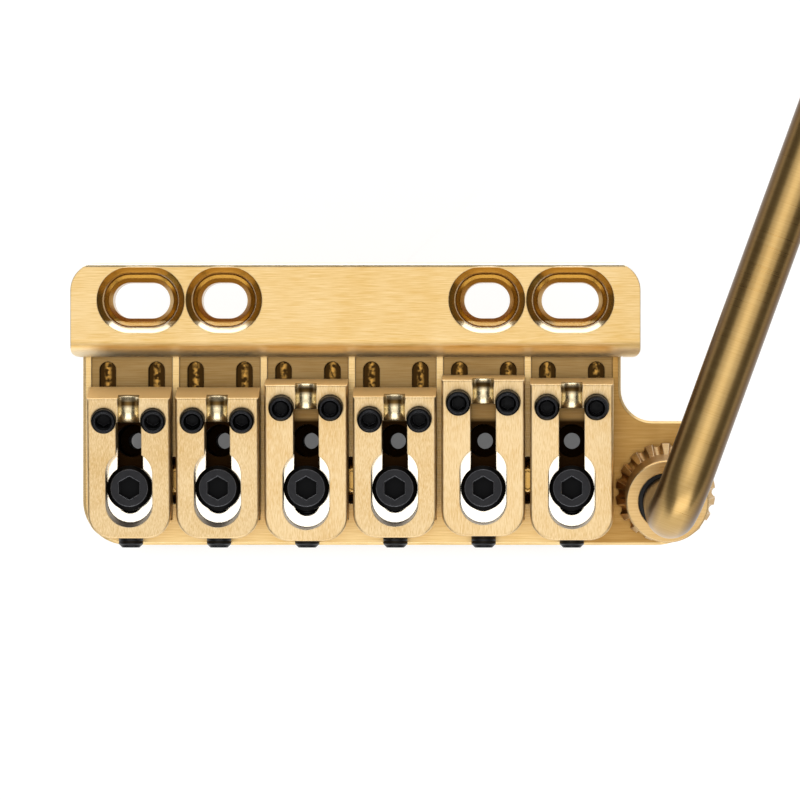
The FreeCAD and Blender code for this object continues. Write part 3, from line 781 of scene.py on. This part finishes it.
@dataclass
class ArmGroup:
    """The arm in its collar, with the toothed wheel, the sleeve and the black ring."""

    run_deg: float = 19.8

    def dress(self, frame: Dict[str, Any]) -> None:
        """Brush the arm round its length and the turned parts more finely.
        """
        # Brass brushed round and left to age: soft bands of light, with brown flanks of painted shade
        arm = BrushedMetal("brushed_aged_brass_arm", "#c8a76d", "#bb975c", Grain.ROUND_ARM, streak_mm=12.0,
                           roughness=(0.26, 0.34), bump_mm=0.001, turn_deg=-self.run_deg,
                           flank_shade=FlankShade("#8a8078", self.run_deg))
        aged = arm.material()
        dress(frame, "tremolo_arm", aged)
        dress(frame, "arm_tip", aged)
        # Turned brass gives a smooth, even gold ring
        collar = BrushedMetal("turned_brass_collar", "#d2b17b", "#c09b63", Grain.ACROSS,
                              roughness=(0.26, 0.36))
        dress(frame, "arm_socket", collar.material())
        # Hobbed brass, left bright by the cutter, shows dark and pale teeth
        wheel = BrushedMetal("cut_brass_wheel", "#d2b284", "#b4925f", Grain.ACROSS, roughness=(0.26, 0.36))
        dress(frame, "tension_wheel", wheel.material())
        # Moulded acetal stays matt and tan inside the collar
        dress(frame, "arm_bush", SoftSolid("acetal_bush", "#d9b37a", "#c79f66", 0.5).material())
        # Moulded nitrile rubber is a matt black line at the collar's mouth
        dress(frame, "socket_o_ring", SoftSolid("nitrile_ring", "#161616", "#0a0a0a", 0.6).material())


@dataclass(frozen=True)
class Softbox:
    """A soft studio lamp: where it hangs, how large it is and how bright its face looks."""

    name: str
    place: Triple
    turn_deg: Triple
    size: Tuple[float, float]
    brightness: float

    def build(self) -> None:
        """Hang the lamp, hidden from the camera."""
        turn = tuple(math.radians(angle) for angle in self.turn_deg)
        bpy.ops.object.light_add(type="AREA", location=self.place, rotation=turn)
        lamp = bpy.context.active_object
        lamp.name = self.name
        lamp.data.shape = "RECTANGLE"
        lamp.data.size, lamp.data.size_y = self.size
        lamp.data.energy = self.brightness * math.pi * self.size[0] * self.size[1]
        lamp.visible_camera = False


@dataclass
class Studio:
    """A white table lit from inside, soft lamps above, at the neck's side and behind, and the camera.

    Lamps and the table are in metres, the camera's place and target in millimetres.
    """

    table_size: float = 40.0
    table_gap_mm: float = 0.2
    room: str = "#595653"
    camera_mm: Triple = (27.5, -19.6, 1213.0)
    target_mm: Triple = (5.55, -12.26, 13.0)
    lens: float = 442.8
    sensor: float = 36.0
    sees_to: float = 10.0
    lamps: Tuple[Softbox, ...] = (
        Softbox("overhead", (0.0, -0.3, 0.8), (0.0, 0.0, 0.0), (1.3, 1.1), 0.85),
        Softbox("overhead_core", (0.0, -0.1, 0.78), (0.0, 0.0, 0.0), (0.4, 0.6), 0.7),
        Softbox("neck_side", (0.0, 1.2, 0.55), (90.0, 0.0, 180.0), (1.8, 1.0), 2.2),
        Softbox("behind", (0.0, -1.2, 0.5), (67.4, 0.0, 0.0), (1.2, 0.85), 2.0),
    )

    def build(self, lowest: float) -> None:
        """Build the table, the lamps, the dim room and the camera.

        Args:
            lowest: The object's lowest height, in metres.
        """
        bpy.ops.object.select_all(action="DESELECT")
        height = lowest - self.table_gap_mm * MM
        bpy.ops.mesh.primitive_plane_add(size=self.table_size, location=(0, 0, height))
        table = bpy.context.active_object
        table.name = "table"
        # White acrylic lit from inside gives a plain white ground, with a faint shadow from the lamps and
        # painted shade where the bridge stands close over it
        white = SoftSolid("white_acrylic", "#989898", "#929292", 0.9, grit_mm=2.0, glow=0.85, contact_shade_mm=6.0)
        table.data.materials.append(white.material())
        table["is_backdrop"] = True
        for lamp in self.lamps:
            lamp.build()
        world = bpy.data.worlds.new("dim_room")
        bpy.context.scene.world = world
        world.use_nodes = True
        air = world.node_tree.nodes["Background"]
        air.inputs["Color"].default_value = linear(self.room)
        air.inputs["Strength"].default_value = 1.0
        bpy.context.scene.view_settings.view_transform = "Standard"
        self.place_camera()

    def place_camera(self) -> None:
        """Set the camera over the bridge, with the frame's Y upward in the picture."""
        data = bpy.data.cameras.new("overhead")
        data.lens = self.lens
        data.sensor_width = self.sensor
        data.clip_end = self.sees_to
        camera = bpy.data.objects.new("overhead", data)
        bpy.context.scene.collection.objects.link(camera)
        eye, target = Vector(self.camera_mm) * MM, Vector(self.target_mm) * MM
        back = (eye - target).normalized()
        right = Vector((0, 1, 0)).cross(back).normalized()
        up = back.cross(right)
        turn = Matrix((right, up, back)).transposed().to_4x4()
        camera.matrix_world = Matrix.Translation(eye) @ turn
        bpy.context.scene.camera = camera


def saddles() -> List[Saddle]:
    """List the six saddles.

    Returns:
        The saddles from the bass side, with their places and tilts.
    """
    first = STRING_MIDDLE_MM - (len(SADDLE_TILTS_DEG) - 1) / 2 * STRING_PITCH_MM
    return [Saddle(name, first + i * STRING_PITCH_MM, tilt)
            for i, (name, tilt) in enumerate(SADDLE_TILTS_DEG.items())]


def main() -> None:
    """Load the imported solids, dress every piece, and set up the studio."""
    logging.basicConfig(level=logging.INFO)
    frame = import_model()
    solid_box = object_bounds()
    MountingBar().dress(frame)
    RockingPlate().dress(frame)
    for saddle in saddles():
        saddle.dress(frame)
    ArmGroup().dress(frame)
    Studio().build(solid_box[0].z)


if __name__ == "__main__":
    main()
